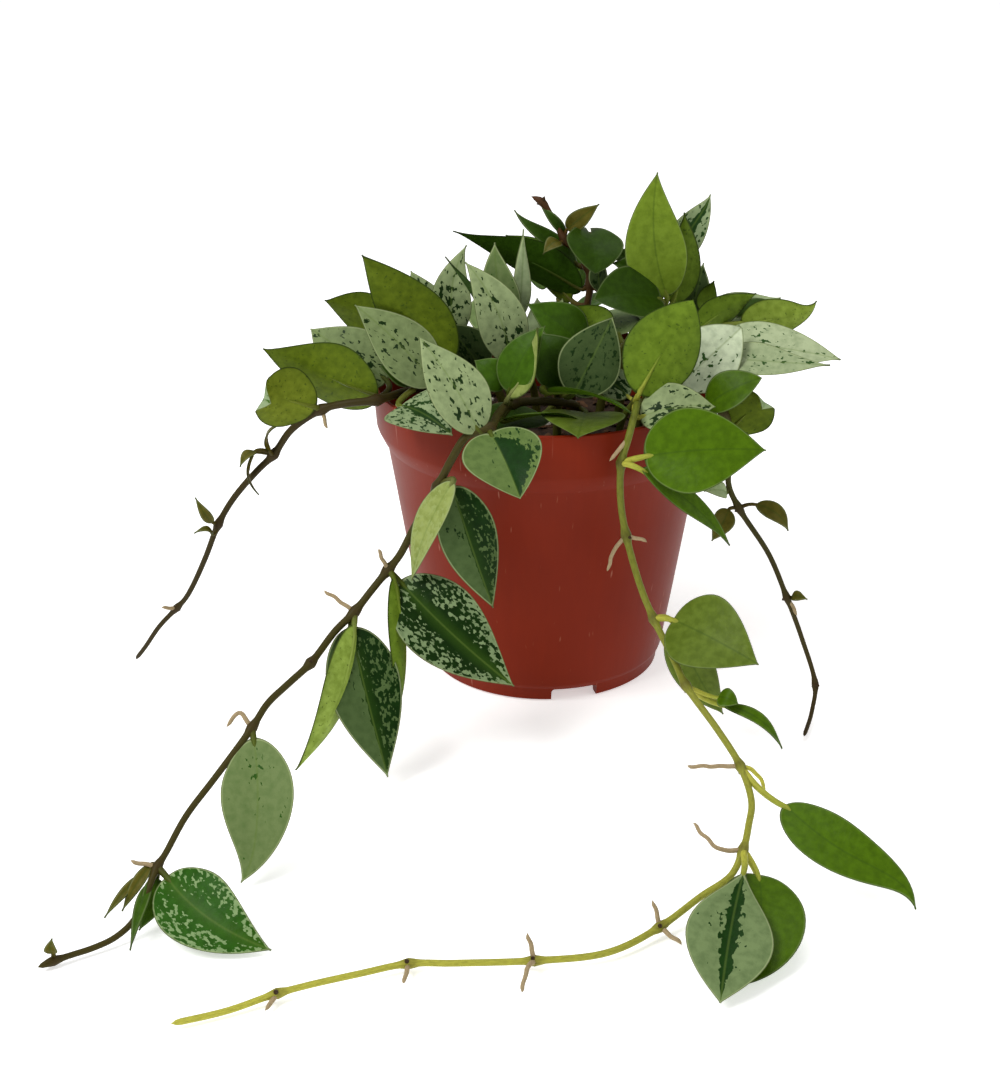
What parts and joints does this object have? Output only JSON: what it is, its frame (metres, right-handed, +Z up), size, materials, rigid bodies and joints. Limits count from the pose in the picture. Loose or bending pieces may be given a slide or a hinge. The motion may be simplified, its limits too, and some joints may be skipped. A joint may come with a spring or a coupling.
{
  "type": "potted hoya plant",
  "caption": "Trailing house plant with pointed, silver-splashed and green waxy leaves, in a round tapered terracotta-coloured plastic pot standing on notched feet.",
  "frame": {"origin": "bottom centre of the whole part's box; z = 0 is the surface that the pot's feet stand on", "axes": "+Z up; -Y towards the viewer of the picture, +X to that viewer's right; the part's longest extent lies along Y, its shortest along Z"},
  "size_m": [0.261, 0.3242, 0.1842],
  "materials": {
    "pot_plastic": "satin terracotta-brown plastic with fine scratches",
    "potting_mix": "matte, coarse dark bark and fibre",
    "foliage_olive": "satin olive leaf undersides, young leaves and stems",
    "foliage_deep_green": "satin dark green leaves with pale splashes",
    "foliage_fresh_green": "satin fresh green leaves with pale margins",
    "foliage_silver": "satin silver-grey leaves with small dark green dots"
  },
  "bodies": {
    "root": {"pot": "pot_plastic", "soil": "potting_mix", "stem_trailing_left": "foliage_olive", "stem_trailing_front_left": "foliage_deep_green", "stem_trailing_front_right": "foliage_fresh_green", "stem_trailing_right": "foliage_olive", "stem_upright": "foliage_deep_green", "stem_crown_left": "foliage_olive", "stem_crown_left_rear": "foliage_deep_green", "stem_crown_middle": "foliage_silver", "stem_crown_front": "foliage_fresh_green", "stem_crown_right": "foliage_silver", "stem_crown_right_rear": "foliage_olive", "stem_crown_tall": "foliage_deep_green", "stem_rear_left": "foliage_silver", "stem_rear_middle": "foliage_deep_green", "stem_rear_right": "foliage_fresh_green"}
  },
  "joints": []
}
